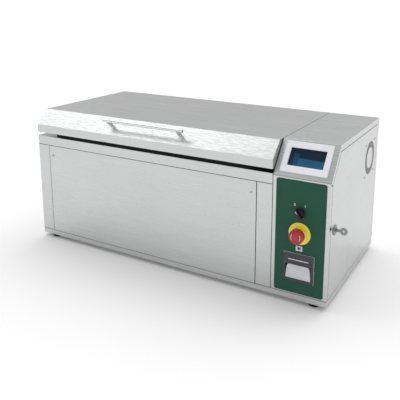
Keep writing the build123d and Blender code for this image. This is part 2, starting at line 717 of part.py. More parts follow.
with BuildPart() as printer_door:
    with BuildSketch(Plane.YZ.offset(tower_middle - door_half)) as door_section:
        with BuildLine():
            top_z = door_bottom_z + printer_door_height
            bulge_y = printer_face - 2.0
            ThreePointArc((printer_face, door_hinge_z), (door_hinge_y, door_bottom_z),
                          (door_hinge_y + door_hinge_radius, door_hinge_z))
            Polyline((door_hinge_y + door_hinge_radius, door_hinge_z),
                     (door_hinge_y + door_hinge_radius, top_z - 4), (printer_face + 1.5, top_z),
                     (printer_face, top_z))
            ThreePointArc((printer_face, top_z), (bulge_y, (top_z + door_hinge_z) / 2),
                          (printer_face, door_hinge_z))
        make_face()
    extrude(amount=printer_door_width)
    rod((tower_middle - door_half - 2.2, door_hinge_y, door_hinge_z), (1, 0, 0), door_pin,
        printer_door_width + 4.4)
finish(printer_door, "printer_door")

roll_y, roll_z = front + 34, bay_bottom + 26
spindle_radius = 5.0
with BuildPart() as printer_housing:
    box_between((bay_left, bay_right), (front + 6, bay_back), (bay_bottom, bay_top))
    box_between((bay_left + 2, bay_right - 2), (front + 5, bay_back - 2),
                (bay_bottom + 2, bay_top - 2), mode=Mode.SUBTRACT)
    box_between((bay_left + 2, bay_right - 2), (front + 10, front + 30), (bay_top - 14, bay_top - 2))
    for x in (bay_left + 2, bay_right - 8):
        box_between((x, x + 6), (roll_y - 7, roll_y + 7), (roll_z - 7, roll_z + 7))
    rod((bay_left + 2, roll_y, roll_z), (1, 0, 0), spindle_radius, bay_right - bay_left - 4)
finish(printer_housing, "printer_housing")

with BuildPart() as paper_roll:
    rod((tower_middle - 28.5, roll_y, roll_z), (1, 0, 0), 19, 57)
    rod((tower_middle - 30, roll_y, roll_z), (1, 0, 0), spindle_radius + pin_clearance, 60,
        mode=Mode.SUBTRACT)
finish(paper_roll, "paper_roll")

# ---------------------------------------------------------------- service door
def door_outline(bottom, z_top):
    """(y, z) outline of the service door behind the cover's side flange."""
    gap = slope_flange + seam
    corner_z = slope_foot + (door_front - front) * (top - slope_foot) / slope_depth
    corner_z -= gap * slope_run / slope_depth
    return [(door_front, bottom), (door_front, corner_z), (slope_line(gap, z_top), z_top),
            (door_rear, z_top), (door_rear, bottom)]


with BuildPart() as service_door:
    with BuildSketch(Plane.YZ.offset(right - sheet)) as door_face:
        with BuildLine():
            Polyline(*door_outline(panel_bottom, door_top), close=True)
        make_face()
    extrude(amount=sheet)
    edge_in = (right - sheet - door_fold, right - sheet)
    box_between(edge_in, (slope_line(slope_flange + seam, door_top) + 4, door_rear),
                (door_top - sheet, door_top))
    box_between(edge_in, (door_front, door_rear), (panel_bottom, panel_bottom + sheet))
    box_between(edge_in, (door_front, door_front + sheet),
                (panel_bottom, slope_foot - 20))
    box_between((right - sheet - 7, right - sheet), (door_rear - sheet, door_rear),
                (panel_bottom, door_top))
    for z in (door_top - 2, panel_bottom - 1):
        rod((door_axis_x, door_axis_y, z - 1), (0, 0, 1), door_pin_radius + pin_clearance, 5,
            mode=Mode.SUBTRACT)
    with BuildSketch(side_plane) as vent_holes:
        for ring in range(vent_rings):
            radius = (vent_inner + vent_hole + (vent_outer - vent_inner - 2 * vent_hole)
                      * ring / (vent_rings - 1)) / 2
            with Locations((fan_y, fan_z)):
                with PolarLocations(radius, int(2 * pi * radius / (vent_pitch * vent_hole))):
                    Circle(vent_hole / 2)
    extrude(amount=-2 * sheet, mode=Mode.SUBTRACT)
    with BuildSketch(side_plane) as fan_screw_holes:
        with Locations((fan_y, fan_z)):
            with GridLocations(fan_screw_spacing, fan_screw_spacing, 2, 2):
                Circle(screw_shank / 2 + 0.05)
        with Locations((lock_y, lock_z)):
            Circle(9.6)
    extrude(amount=-2 * sheet, mode=Mode.SUBTRACT)
finish(service_door, "service_door")

with BuildPart() as door_hinges:
    box_between((right - 14, right - sheet), (door_axis_y - 8, rear - sheet),
                (door_top + 0.5, door_top + 2.5))
    rod((door_axis_x, door_axis_y, door_top + 0.5), (0, 0, -1), door_pin_radius, 5)
    box_between((right - 14, right - 2 * sheet), (door_axis_y - 8, rear - 2 * sheet),
                (plinth_top - 2, plinth_top + 0.3))
    rod((door_axis_x, door_axis_y, plinth_top + 0.3), (0, 0, 1), door_pin_radius, 5)
finish(door_hinges, "door_hinges")

# ---------------------------------------------------------------- fan
fan_outer_x = right - sheet
fan_bore = fan_size / 2 - 4
rotor_radius = fan_bore - 2.0
hub_radius = 19.0
fan_shaft = 2.5
with BuildPart() as fan_frame:
    with BuildSketch(Plane(origin=(fan_outer_x, fan_y, fan_z), x_dir=(0, 1, 0), z_dir=(-1, 0, 0))):
        RectangleRounded(fan_size, fan_size, 5)
        Circle(fan_bore, mode=Mode.SUBTRACT)
        with GridLocations(fan_screw_spacing, fan_screw_spacing, 2, 2):
            Circle(screw_shank / 2 + 0.05, mode=Mode.SUBTRACT)
    extrude(amount=fan_depth)
    back_x = fan_outer_x - fan_depth
    rod((back_x, fan_y, fan_z), (1, 0, 0), hub_radius, 4)
    for turn in range(3):
        angle = radians(90 + 120 * turn)
        strut = Plane(origin=(back_x, fan_y, fan_z), z_dir=(0, cos(angle), sin(angle)),
                      x_dir=(1, 0, 0))
        with BuildSketch(strut.offset(hub_radius - 2)):
            with Locations((2, 0)):
                Rectangle(4, 6)
        extrude(amount=fan_bore - hub_radius + 3)
    rod((back_x - 1, fan_y, fan_z), (1, 0, 0), fan_shaft + pin_clearance, 6, mode=Mode.SUBTRACT)
finish(fan_frame, "fan_frame")

blade_count = 7
rotor_x = back_x + 5
with BuildPart() as fan_rotor:
    rod((rotor_x, fan_y, fan_z), (1, 0, 0), hub_radius, 20)
    rod((back_x + 1, fan_y, fan_z), (1, 0, 0), fan_shaft, 6)
    for blade in range(blade_count):
        angle = 2 * pi * blade / blade_count
        root = Plane(origin=(rotor_x + 10, fan_y, fan_z), z_dir=(0, cos(angle), sin(angle)),
                     x_dir=(1, 0, 0))
        with BuildSketch(root.offset(hub_radius - 2)):
            Rectangle(22, 2, rotation=38)
        extrude(amount=rotor_radius - hub_radius)
finish(fan_rotor, "fan_rotor")

fan_screw_spots = [
    (fan_y + dy * fan_screw_spacing / 2, fan_z + dz * fan_screw_spacing / 2)
    for dy in (-1, 1) for dz in (-1, 1)
]
with BuildPart() as fan_screws:
    for y, z in fan_screw_spots:
        rod((right, y, z), (1, 0, 0), screw_head / 2, 2)
        rod((right, y, z), (-1, 0, 0), screw_shank / 2, sheet + fan_depth + 3)
finish(fan_screws, "fan_screws")

# ---------------------------------------------------------------- lock and key
plug_radius = 6.0
cam_back = right - 17.5
with BuildPart() as lock_housing:
    rod((right, lock_y, lock_z), (1, 0, 0), 14, 3)
    chamfer(lock_housing.edges().filter_by(GeomType.CIRCLE).sort_by(Axis.X)[-1], 1.2)
    rod((right, lock_y, lock_z), (-1, 0, 0), 9.5, 13.5)
    rod((right + 5, lock_y, lock_z), (-1, 0, 0), plug_radius + pin_clearance, 30,
        mode=Mode.SUBTRACT)
finish(lock_housing, "lock_housing")

key_slot = (2.6, 9.0)
cam_reach = 38.0
cam_thickness = 3.0
with BuildPart() as lock_plug:
    rod((cam_back, lock_y, lock_z), (1, 0, 0), plug_radius, right + 3.5 - cam_back)
    box_between((right - 12, right + 5), (lock_y - key_slot[0] / 2, lock_y + key_slot[0] / 2),
                (lock_z - key_slot[1] / 2, lock_z + key_slot[1] / 2), mode=Mode.SUBTRACT)
    box_between((cam_back - cam_thickness, cam_back), (lock_y - 7, lock_y + 7),
                (lock_z - cam_reach, lock_z + 8))
finish(lock_plug, "lock_plug")

key_blade = (2.0, 8.0)
with BuildPart() as key:
    box_between((right - 11, right + 16), (lock_y - key_blade[0] / 2, lock_y + key_blade[0] / 2),
                (lock_z - key_blade[1] / 2, lock_z + key_blade[1] / 2))
    with BuildSketch(Plane.XZ.offset(-lock_y - key_blade[0] / 2)) as bow:
        with Locations((right + key_reach - 10, lock_z)):
            Circle(10)
            Circle(3, mode=Mode.SUBTRACT)
    extrude(amount=key_blade[0])
finish(key, "key")

# ---------------------------------------------------------------- electrics in the tower
board_x = tower_left + sheet
with BuildPart() as control_board:
    box_between((board_x + 8, board_x + 9.6), (front + 130, front + 290), (base + 150, base + 290))
    for y in (front + 138, front + 282):
        for z in (base + 158, base + 282):
            rod((board_x, y, z), (1, 0, 0), 3, 8)
    box_between((board_x + 9.6, board_x + 26), (front + 150, front + 190), (base + 170, base + 200))
    box_between((board_x + 9.6, board_x + 20), (front + 210, front + 270), (base + 240, base + 262))
    box_between((board_x + 9.6, board_x + 12.6), (front + 215, front + 250), (base + 180, base + 215))
finish(control_board, "control_board")

with BuildPart() as power_supply:
    box_between((board_x, board_x + 42), (front + 120, front + 230), (base + 30, base + 120))
finish(power_supply, "power_supply")

with BuildPart() as mains_inlet:
    with BuildSketch(Plane(origin=(tower_middle, rear, inlet_z), x_dir=(-1, 0, 0), z_dir=(0, 1, 0))):
        RectangleRounded(inlet_width, inlet_height_mm, 3)
    extrude(amount=3)
    box_between((tower_middle - 14.5, tower_middle + 14.5), (rear - 26, rear),
                (inlet_z - 10.5, inlet_z + 10.5))
    box_between((tower_middle - 12.2, tower_middle + 12.2), (rear - 16, rear + 4),
                (inlet_z - 8, inlet_z + 8), mode=Mode.SUBTRACT)
    for x, z in ((-7, -2), (7, -2), (0, 2)):
        box_between((tower_middle + x - 1, tower_middle + x + 1), (rear - 17, rear - 4),
                    (inlet_z + z - 2, inlet_z + z + 2))
finish(mains_inlet, "mains_inlet")

# ---------------------------------------------------------------- lid
with BuildPart() as lid_shell:
    with BuildSketch(Plane.YZ.offset(left)) as lid_outside:
        with BuildLine():
            Polyline(*side_outline(lid_lip_top, lid_slope_depth, lid_bottom), close=True)
        make_face()
    extrude(amount=lid_right - left)
    with BuildSketch(Plane.YZ.offset(left + sheet)) as lid_inside:
        with BuildLine():
            Polyline(*side_outline(lid_lip_top, lid_slope_depth, lid_bottom - 1, sheet), close=True)
        make_face()
    extrude(amount=lid_right - left - 2 * sheet, mode=Mode.SUBTRACT)
    for x in (-1, 1):
        spot = lid_slope_plane.from_local_coords(
            (x * (handle_length / 2 - handle_post_inset), lid_slope_run / 2, 0))
        rod(spot - lid_slope_plane.z_dir * 3, lid_slope_plane.z_dir, screw_shank / 2 + 0.05, 6,
            mode=Mode.SUBTRACT)
finish(lid_shell, "lid_shell")

with BuildPart() as lid_liner:
    box_between((left + sheet, lid_right - sheet), (front + sheet, rear - sheet),
                (lid_bottom, lid_bottom + sheet))
    for y in (front + sheet, rear - 2 * sheet):
        box_between((left + sheet, lid_right - sheet), (y, y + sheet), (lid_bottom, lid_bottom + 14))
    for x in (left + sheet, lid_right - 2 * sheet):
        box_between((x, x + sheet), (front + sheet, rear - sheet), (lid_bottom, lid_bottom + 14))
finish(lid_liner, "lid_liner")

with BuildPart() as lid_insulation:
    box_between((left + 30, lid_right - 30), (front + lid_slope_depth + 6, rear - 10),
                (lid_bottom + sheet, lid_bottom + sheet + lid_insulation_depth))
finish(lid_insulation, "lid_insulation")

post_length = handle_standoff - handle_diameter / 2
with BuildPart() as handle_posts:
    for x in (-1, 1):
        spot = lid_slope_plane.from_local_coords(
            (x * (handle_length / 2 - handle_post_inset), lid_slope_run / 2, 0))
        rod(spot, lid_slope_plane.z_dir, handle_post_diameter / 2, handle_standoff)
        rod(spot - lid_slope_plane.z_dir * 6, lid_slope_plane.z_dir, screw_shank / 2, 7)
    bar_start = lid_slope_plane.from_local_coords((-handle_length / 2, lid_slope_run / 2, handle_standoff))
    rod(bar_start - Vector(1, 0, 0), (1, 0, 0), handle_diameter / 2 + 0.02, handle_length + 2,
        mode=Mode.SUBTRACT)
finish(handle_posts, "handle_posts")

with BuildPart() as handle_bar:
    rod(bar_start, (1, 0, 0), handle_diameter / 2, handle_length)
    chamfer(handle_bar.edges().filter_by(GeomType.CIRCLE), 1)
finish(handle_bar, "handle_bar")

# ---------------------------------------------------------------- lid hinges
hinge_starts = [left + hinge_inset, lid_right - hinge_inset - hinge_length]
middle_knuckle = (0.29 * hinge_length, 0.71 * hinge_length)


def knuckle(x0, x1):
    """Hinge knuckle between two places along X, with its pin bore."""
    rod((x0, hinge_y, hinge_z), (1, 0, 0), knuckle_radius, x1 - x0)


def bore(x0, x1):
    """Pin bore through the knuckles of one leaf."""
    rod((x0 - 1, hinge_y, hinge_z), (1, 0, 0), hinge_pin_radius + pin_clearance, x1 - x0 + 2,
        mode=Mode.SUBTRACT)


plate_start = knuckle_radius + 1.0
with BuildPart() as body_hinge_leaves:
    for x in hinge_starts:
        box_between((x, x + hinge_length), (rear, rear + hinge_leaf),
                    (hinge_z - hinge_leaf_height, hinge_z - plate_start))
        ends = ((x, x + middle_knuckle[0] - knuckle_gap), (x + middle_knuckle[1] + knuckle_gap,
                x + hinge_length))
        for x0, x1 in ends:
            box_between((x0, x1), (rear, rear + hinge_leaf), (hinge_z - plate_start - 1, hinge_z))
            box_between((x0, x1), (rear, hinge_y), (hinge_z - hinge_leaf, hinge_z))
            knuckle(x0, x1)
        bore(x, x + hinge_length)
finish(body_hinge_leaves, "body_hinge_leaves")

with BuildPart() as lid_hinge_leaves:
    for x in hinge_starts:
        box_between((x, x + hinge_length), (rear, rear + hinge_leaf),
                    (hinge_z + plate_start, hinge_z + hinge_leaf_height))
        x0, x1 = x + middle_knuckle[0], x + middle_knuckle[1]
        box_between((x0, x1), (rear, rear + hinge_leaf), (hinge_z, hinge_z + plate_start + 1))
        box_between((x0, x1), (rear, hinge_y), (hinge_z, hinge_z + hinge_leaf))
        knuckle(x0, x1)
        bore(x0, x1)
finish(lid_hinge_leaves, "lid_hinge_leaves")

with BuildPart() as hinge_pins:
    for x in hinge_starts:
        rod((x, hinge_y, hinge_z), (1, 0, 0), hinge_pin_radius, hinge_length)
        rod((x, hinge_y, hinge_z), (-1, 0, 0), hinge_pin_radius + 1.5, 2)
        rod((x + hinge_length, hinge_y, hinge_z), (1, 0, 0), hinge_pin_radius + 1.5, 2)
finish(hinge_pins, "hinge_pins")
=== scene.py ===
import json
import math

import bmesh
import bpy
from mathutils import Matrix, Vector


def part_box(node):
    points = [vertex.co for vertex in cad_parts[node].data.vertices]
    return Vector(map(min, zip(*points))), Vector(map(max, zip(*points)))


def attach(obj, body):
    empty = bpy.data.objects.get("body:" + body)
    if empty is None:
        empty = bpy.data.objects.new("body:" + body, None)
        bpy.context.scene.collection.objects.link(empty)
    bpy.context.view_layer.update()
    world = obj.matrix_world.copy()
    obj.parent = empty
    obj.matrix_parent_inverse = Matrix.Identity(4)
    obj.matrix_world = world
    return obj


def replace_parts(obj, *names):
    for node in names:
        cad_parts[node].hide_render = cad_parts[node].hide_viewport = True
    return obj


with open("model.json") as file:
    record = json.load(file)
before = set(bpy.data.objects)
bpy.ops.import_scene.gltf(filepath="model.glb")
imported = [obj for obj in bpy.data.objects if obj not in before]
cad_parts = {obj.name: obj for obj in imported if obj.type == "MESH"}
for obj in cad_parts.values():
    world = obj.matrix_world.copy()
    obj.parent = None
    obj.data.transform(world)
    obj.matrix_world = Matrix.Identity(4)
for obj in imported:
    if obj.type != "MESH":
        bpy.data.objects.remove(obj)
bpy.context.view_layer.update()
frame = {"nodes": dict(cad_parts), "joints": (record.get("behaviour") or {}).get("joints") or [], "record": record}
scene = bpy.context.scene
MM = 0.001
FRONT, REAR = (0, -1, 0), (0, 1, 0)
RIGHT, UP = (1, 0, 0), (0, 0, 1)


def middle_of(node):
    """Middle of a CAD node's box at rest."""
    low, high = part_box(node)
    return (low + high) / 2


# ------------------------------------------------------------------ shader helpers
def srgb(r, g, b):
    """Linear colour of an 8-bit display colour."""
    def linear(c):
        c /= 255
        return c / 12.92 if c <= 0.04045 else ((c + 0.055) / 1.055) ** 2.4
    return (linear(r), linear(g), linear(b), 1.0)


def add(tree, kind, settings=None, **inputs):
    """New node. Its inputs, by name or as i and a number, are values or other nodes' sockets."""
    node = tree.nodes.new(kind)
    for key, value in (settings or {}).items():
        setattr(node, key, value)
    for key, value in inputs.items():
        socket = node.inputs[int(key[1:])] if key[0] == "i" and key[1:].isdigit() else node.inputs[key]
        if isinstance(value, bpy.types.NodeSocket):
            tree.links.new(value, socket)
        else:
            socket.default_value = value
    return node


def maths(tree, operation, a, b=0.0):
    return add(tree, "ShaderNodeMath", {"operation": operation}, i0=a, i1=b).outputs[0]


def vector_maths(tree, operation, a, b):
    return add(tree, "ShaderNodeVectorMath", {"operation": operation}, i0=a, i1=b)


def product(tree, a, b):
    return maths(tree, "MULTIPLY", a, b)


def scaled(tree, vector, factors):
    """A vector with each of its parts times a number of its own."""
    return vector_maths(tree, "MULTIPLY", vector, factors).outputs[0]


def parts_of(tree, vector):
    """The x, y and z sockets of a vector."""
    return add(tree, "ShaderNodeSeparateXYZ", None, Vector=vector).outputs


def mix_colour(tree, factor, a, b):
    return add(tree, "ShaderNodeMix", {"data_type": "RGBA"}, i0=factor, i6=a, i7=b).outputs[2]


def mix_vector(tree, factor, a, b):
    return add(tree, "ShaderNodeMix", {"data_type": "VECTOR"}, i0=factor, i4=a, i5=b).outputs[1]


def spread(tree, value, low, high, to_low, to_high):
    """A value from low to high, spread over to_low to to_high and held at its ends."""
    return add(tree, "ShaderNodeMapRange", None, i0=value, i1=low, i2=high, i3=to_low,
               i4=to_high).outputs[0]


def varied(tree, pattern, to_low, to_high):
    """A noise, whose values mostly lie from 0.3 to 0.7, spread over a range."""
    return spread(tree, pattern, 0.3, 0.7, to_low, to_high)


def within(tree, value, low, high):
    """1 between low and high, otherwise 0."""
    return product(tree, maths(tree, "GREATER_THAN", value, low), maths(tree, "LESS_THAN", value, high))


def noise(tree, vector, scale, detail=2.0):
    texture = add(tree, "ShaderNodeTexNoise", None, Vector=vector, Scale=scale, Detail=detail)
    return texture.outputs["Fac"]


def new_material(name, **settings):
    """Material with a Principled shader, whose constant inputs are set on its own sockets.

    Also gives its tree, its shader, and the place and normal in the object's coordinates."""
    material = bpy.data.materials.new(name)
    material.use_nodes = True
    tree = material.node_tree
    shader = tree.nodes["Principled BSDF"]
    for key, value in settings.items():
        shader.inputs[key.replace("_", " ")].default_value = value
    material.diffuse_color = shader.inputs["Base Color"].default_value
    place = tree.nodes.new("ShaderNodeTexCoord")
    return material, tree, shader, place.outputs["Object"], place.outputs["Normal"]


def bump(tree, shader, height, distance, strength=1.0, normal=None):
    node = add(tree, "ShaderNodeBump", None, Height=height, Distance=distance, Strength=strength)
    if normal is not None:
        tree.links.new(normal, node.inputs["Normal"])
    tree.links.new(node.outputs[0], shader.inputs["Normal"])


def tinted(tree, colour, factor):
    """A colour times a number that varies over the surface."""
    grey = add(tree, "ShaderNodeCombineXYZ", None, X=factor, Y=factor, Z=factor).outputs[0]
    return scaled(tree, colour[:3], grey)


def softened(tree, radius):
    """Normal with the sharp edges rounded off by a radius."""
    return add(tree, "ShaderNodeBevel", {"samples": 4}, Radius=radius).outputs[0]


# ------------------------------------------------------------------ materials
def steel(name, colour, roughness, grain=0.05, slope_flecks_and_highlight=False, painted_vent_shade=False):
    """Brushed stainless sheet. The grain runs along each face, level with the bench.

    The service door's option paints shade: the walls of its holes are painted dark, and a ring
    of painted shade between them stands for the dark fan seen through the vent."""
    mat, tree, shader, at, normal = new_material(name, Base_Color=colour, Metallic=1.0,
                                                 Roughness=roughness)
    facing_side = maths(tree, "ABSOLUTE", parts_of(tree, normal)[0])
    along, across = 6.0, 900.0
    grain_scale = mix_vector(tree, maths(tree, "GREATER_THAN", facing_side, 0.6),
                             (along, across, across), (across, along, across))
    brushed = noise(tree, scaled(tree, at, grain_scale), 1.0, 3.0)
    cloudy = noise(tree, at, 5.0)
    tone = product(tree, varied(tree, brushed, 1.0 - grain, 1.0 + grain),
                   varied(tree, cloudy, 0.985, 1.015))
    rough = varied(tree, brushed, roughness - 0.05, roughness + 0.05)
    height = brushed
    if slope_flecks_and_highlight:
        # the lid's slope: flecks in the grain, and a painted highlight that lifts its tone above the rest of the
        # sheet
        leaning = vector_maths(tree, "DOT_PRODUCT", normal, (0.0, -0.71, 0.70)).outputs["Value"]
        slope = maths(tree, "GREATER_THAN", leaning, 0.95)
        flecks = noise(tree, scaled(tree, at, (45.0, 420.0, 420.0)), 1.0, 3.0)
        fleck_and_highlight_tone = spread(tree, flecks, 0.35, 0.65, 0.86, 1.20)
        tone = maths(tree, "ADD", product(tree, tone, maths(tree, "SUBTRACT", 1.0, slope)),
                     product(tree, fleck_and_highlight_tone, slope))
        height = maths(tree, "ADD", brushed, product(tree, flecks, slope))
    if painted_vent_shade:
        fan_middle = middle_of("fan_screws")
        vent_inner, vent_outer = 32 * MM, 51 * MM
        # painted shade: faces that do not face the side, such as the holes' walls, are darkened, and so is a ring
        # round the fan's middle
        hole_wall_shade, vent_ring_shade = 0.14, 0.45
        wall_shading = spread(tree, facing_side, 0.4, 0.6, hole_wall_shade, 1.0)
        from_fan = vector_maths(tree, "DISTANCE", scaled(tree, at, (0.0, 1.0, 1.0)),
                                (0.0, fan_middle.y, fan_middle.z)).outputs["Value"]
        ring_shading = product(tree, within(tree, from_fan, vent_inner, vent_outer), vent_ring_shade)
        tone = product(tree, tone, product(tree, wall_shading, maths(tree, "SUBTRACT", 1.0, ring_shading)))
    tree.links.new(tinted(tree, colour, tone), shader.inputs["Base Color"])
    tree.links.new(rough, shader.inputs["Roughness"])
    bump(tree, shader, height, 0.00002, 0.5, softened(tree, 0.0009))
    return mat


def plastic(name, colour, roughness, texture=0.00003, scale=900.0, coat=0.0):
    """Moulded plastic with a fine eggshell texture and slight unevenness in its tone."""
    mat, tree, shader, at, _ = new_material(name, Base_Color=colour, Roughness=roughness,
                                            Coat_Weight=coat, Coat_Roughness=0.06)
    pebbles = noise(tree, at, scale)
    tone = varied(tree, noise(tree, at, 24.0), 0.97, 1.03)
    tree.links.new(tinted(tree, colour, tone), shader.inputs["Base Color"])
    tree.links.new(varied(tree, pebbles, roughness - 0.04, roughness + 0.04), shader.inputs["Roughness"])
    bump(tree, shader, pebbles, texture, 0.4, softened(tree, 0.0005))
    return mat


def rubber(name, colour):
    """Matt rubber with a fine speckle."""
    mat, tree, shader, at, _ = new_material(name, Base_Color=colour, Roughness=0.75)
    grains = noise(tree, at, 1400.0, 4.0)
    tree.links.new(tinted(tree, colour, varied(tree, grains, 0.8, 1.25)), shader.inputs["Base Color"])
    bump(tree, shader, grains, 0.00008, 0.6)
    return mat


def wool(name):
    """Mineral wool: matted fibres in two sizes."""
    colour = srgb(150, 148, 138)
    mat, tree, shader, at, _ = new_material(name, Base_Color=colour, Roughness=1.0)
    fibres = noise(tree, scaled(tree, at, (120.0, 900.0, 900.0)), 1.0, 5.0)
    clumps = noise(tree, at, 60.0, 3.0)
    tone = product(tree, varied(tree, fibres, 0.75, 1.2), varied(tree, clumps, 0.85, 1.1))
    tree.links.new(tinted(tree, colour, tone), shader.inputs["Base Color"])
    bump(tree, shader, maths(tree, "ADD", fibres, clumps), 0.0012, 0.8)
    return mat


def paper(name):
    """Thermal paper, with the layers of its roll showing on their edges."""
    colour = srgb(246, 246, 244)
    mat, tree, shader, at, _ = new_material(name, Base_Color=colour, Roughness=0.7)
    layers = noise(tree, scaled(tree, at, (4.0, 1500.0, 1500.0)), 1.0, 2.0)
    tree.links.new(tinted(tree, colour, varied(tree, layers, 0.95, 1.02)), shader.inputs["Base Color"])
    bump(tree, shader, layers, 0.00004, 0.5)
    return mat


def display_glass(name):
    """Screen under glass: a dark page with a lit steel-blue window low on its right."""
    mat, tree, shader, at, _ = new_material(name, Base_Color=srgb(22, 48, 60), Roughness=0.08,
                                            Specular_IOR_Level=0.25)
    low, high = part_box("hmi_display")
    x, _, z = parts_of(tree, at)
    across = spread(tree, x, low.x, high.x, 0.0, 1.0)
    up = spread(tree, z, low.z, high.z, 0.0, 1.0)
    strip_left, window_left = 0.13, 0.27
    window_edge = maths(tree, "ADD", 0.50, product(tree, across, -0.06))
    window = product(tree, maths(tree, "LESS_THAN", up, window_edge),
                     maths(tree, "GREATER_THAN", across, window_left))
    strip = product(tree, within(tree, across, strip_left, window_left), maths(tree, "LESS_THAN", up, 0.72))
    page = mix_colour(tree, up, srgb(16, 52, 72), srgb(12, 34, 46))
    lit = mix_colour(tree, up, srgb(38, 98, 134), srgb(24, 74, 104))
    page = mix_colour(tree, product(tree, strip, 0.5), page, lit)
    tree.links.new(mix_colour(tree, window, page, lit), shader.inputs["Base Color"])
    smudges = noise(tree, at, 70.0, 3.0)
    tree.links.new(varied(tree, smudges, 0.05, 0.12), shader.inputs["Roughness"])
    return mat


def stop_head(name):
    """Red mushroom head with two pale turning arrows printed on its face."""
    red, pale = srgb(176, 34, 44), srgb(232, 214, 212)
    mat, tree, shader, at, normal = new_material(name, Base_Color=red, Roughness=0.32,
                                                 Coat_Weight=0.3, Coat_Roughness=0.1)
    arrow_inner, arrow_outer = 11.8 * MM, 13.2 * MM
    right_end, left_end = 0.62, 2.52        # angles from the right where the arrows' arcs end
    offset = vector_maths(tree, "SUBTRACT", at, tuple(middle_of("estop_head"))).outputs[0]
    x, _, z = parts_of(tree, offset)
    radius = maths(tree, "SQRT", maths(tree, "ADD", product(tree, x, x), product(tree, z, z)))
    angle = maths(tree, "ABSOLUTE", maths(tree, "ARCTAN2", z, x))
    sides = maths(tree, "MAXIMUM", maths(tree, "LESS_THAN", angle, right_end),
                  maths(tree, "GREATER_THAN", angle, left_end))
    front = maths(tree, "LESS_THAN", parts_of(tree, normal)[1], -0.3)
    arrows = product(tree, product(tree, within(tree, radius, arrow_inner, arrow_outer), sides), front)
    tone = varied(tree, noise(tree, at, 40.0), 0.96, 1.04)
    tree.links.new(mix_colour(tree, arrows, tinted(tree, red, tone), pale), shader.inputs["Base Color"])
    bump(tree, shader, noise(tree, at, 900.0), 0.00002, 0.3)
    return mat


def circuit_board(name):
    """Green board: black parts stand on it, brass spacers hold it and bright pads dot it."""
    green, track_green = srgb(28, 92, 58), srgb(44, 124, 78)
    solder, black, brass = srgb(190, 186, 160), srgb(34, 34, 36), srgb(186, 152, 84)
    mat, tree, shader, at, _ = new_material(name, Base_Color=green, Roughness=0.45)
    depth = maths(tree, "SUBTRACT", parts_of(tree, at)[0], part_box("control_board")[0].x)
    parts = maths(tree, "GREATER_THAN", depth, 9.75 * MM)
    spacers = maths(tree, "LESS_THAN", depth, 7.9 * MM)
    dots = add(tree, "ShaderNodeTexVoronoi", None, Vector=at, Scale=260.0).outputs["Distance"]
    pads = maths(tree, "LESS_THAN", dots, 0.22)
    tracks = noise(tree, scaled(tree, at, (1.0, 90.0, 420.0)), 1.0, 0.0)
    laminate = mix_colour(tree, spread(tree, tracks, 0.48, 0.52, 0.0, 0.6), green, track_green)
    populated = mix_colour(tree, parts, mix_colour(tree, pads, laminate, solder), black)
    tree.links.new(mix_colour(tree, spacers, populated, brass), shader.inputs["Base Color"])
    bump(tree, shader, tracks, 0.00003, 0.4)
    return mat


def label_film(name, colour):
    """Screen-printed plastic film with a faint orange-peel surface."""
    mat, tree, shader, at, _ = new_material(name, Base_Color=colour, Roughness=0.5,
                                            Specular_IOR_Level=0.2)
    tone = varied(tree, noise(tree, at, 16.0), 0.96, 1.04)
    tree.links.new(tinted(tree, colour, tone), shader.inputs["Base Color"])
    bump(tree, shader, noise(tree, at, 700.0, 3.0), 0.00002, 0.4)
    return mat


def zinc(name, colour, roughness):
    """Plated steel with the plating's uneven crystals."""
    mat, tree, shader, at, _ = new_material(name, Base_Color=colour, Metallic=1.0, Roughness=roughness)
    crystals = add(tree, "ShaderNodeTexVoronoi", None, Vector=at, Scale=220.0).outputs["Distance"]
    tree.links.new(tinted(tree, colour, spread(tree, crystals, 0.0, 0.8, 0.88, 1.08)),
                   shader.inputs["Base Color"])
    tree.links.new(spread(tree, crystals, 0.0, 0.8, roughness - 0.06, roughness + 0.08),
                   shader.inputs["Roughness"])
    bump(tree, shader, noise(tree, at, 1100.0), 0.00002, 0.4)
    return mat


steel_tone = (0.64, 0.645, 0.645, 1.0)
looks = {
    "case_steel": steel("case_steel", steel_tone, 0.30),
    "lid_steel": steel("lid_steel", steel_tone, 0.30, slope_flecks_and_highlight=True),
    "tank_steel": steel("tank_steel", (0.66, 0.66, 0.66, 1.0), 0.26),
    "bright_steel": steel("bright_steel", (0.80, 0.80, 0.80, 1.0), 0.16, 0.03),
    "zinc_steel": zinc("zinc_steel", (0.60, 0.60, 0.58, 1.0), 0.38),
    "black_rubber": rubber("black_rubber", srgb(16, 16, 17)),
    "grey_wool": wool("grey_wool"),
    "orange_silicone": plastic("orange_silicone", srgb(206, 92, 40), 0.55, 0.00015, 260.0),
    "green_label": label_film("green_label", srgb(38, 86, 70)),
    "white_plastic": plastic("white_plastic", srgb(248, 248, 252), 0.30, coat=0.2),
    "display_glass": display_glass("display_glass"),
    "black_plastic": plastic("black_plastic", srgb(24, 24, 26), 0.38),
    "dark_plastic": plastic("dark_plastic", srgb(62, 60, 64), 0.42),
    "yellow_plastic": plastic("yellow_plastic", srgb(255, 244, 84), 0.36, coat=0.1),
    "red_plastic": stop_head("red_plastic"),
    "grey_plastic": plastic("grey_plastic", srgb(214, 215, 220), 0.30, coat=0.2),
    "paper": paper("paper"),
    "board_green": circuit_board("board_green"),
    "brass": zinc("brass", (0.72, 0.52, 0.24, 1.0), 0.28),
}

# darker plated steel for the key and the lock
dark_plated_steel = zinc("dark_plated_steel", (0.30, 0.30, 0.30, 1.0), 0.34)
own_looks = {                       # nodes that look different from the rest of their slot
    "key": dark_plated_steel,
    "lock_plug": dark_plated_steel,
    "lock_housing": dark_plated_steel,
    "service_door": steel("door_steel", steel_tone, 0.30, painted_vent_shade=True),
}
for part in frame["record"]["subparts"]:
    shown = frame["nodes"][part["node"]]
    if not shown.data.materials:
        shown.data.materials.append(None)
    look = own_looks.get(part["node"], looks[part["material_slot"]])
    for place in range(len(shown.material_slots)):
        shown.material_slots[place].material = look


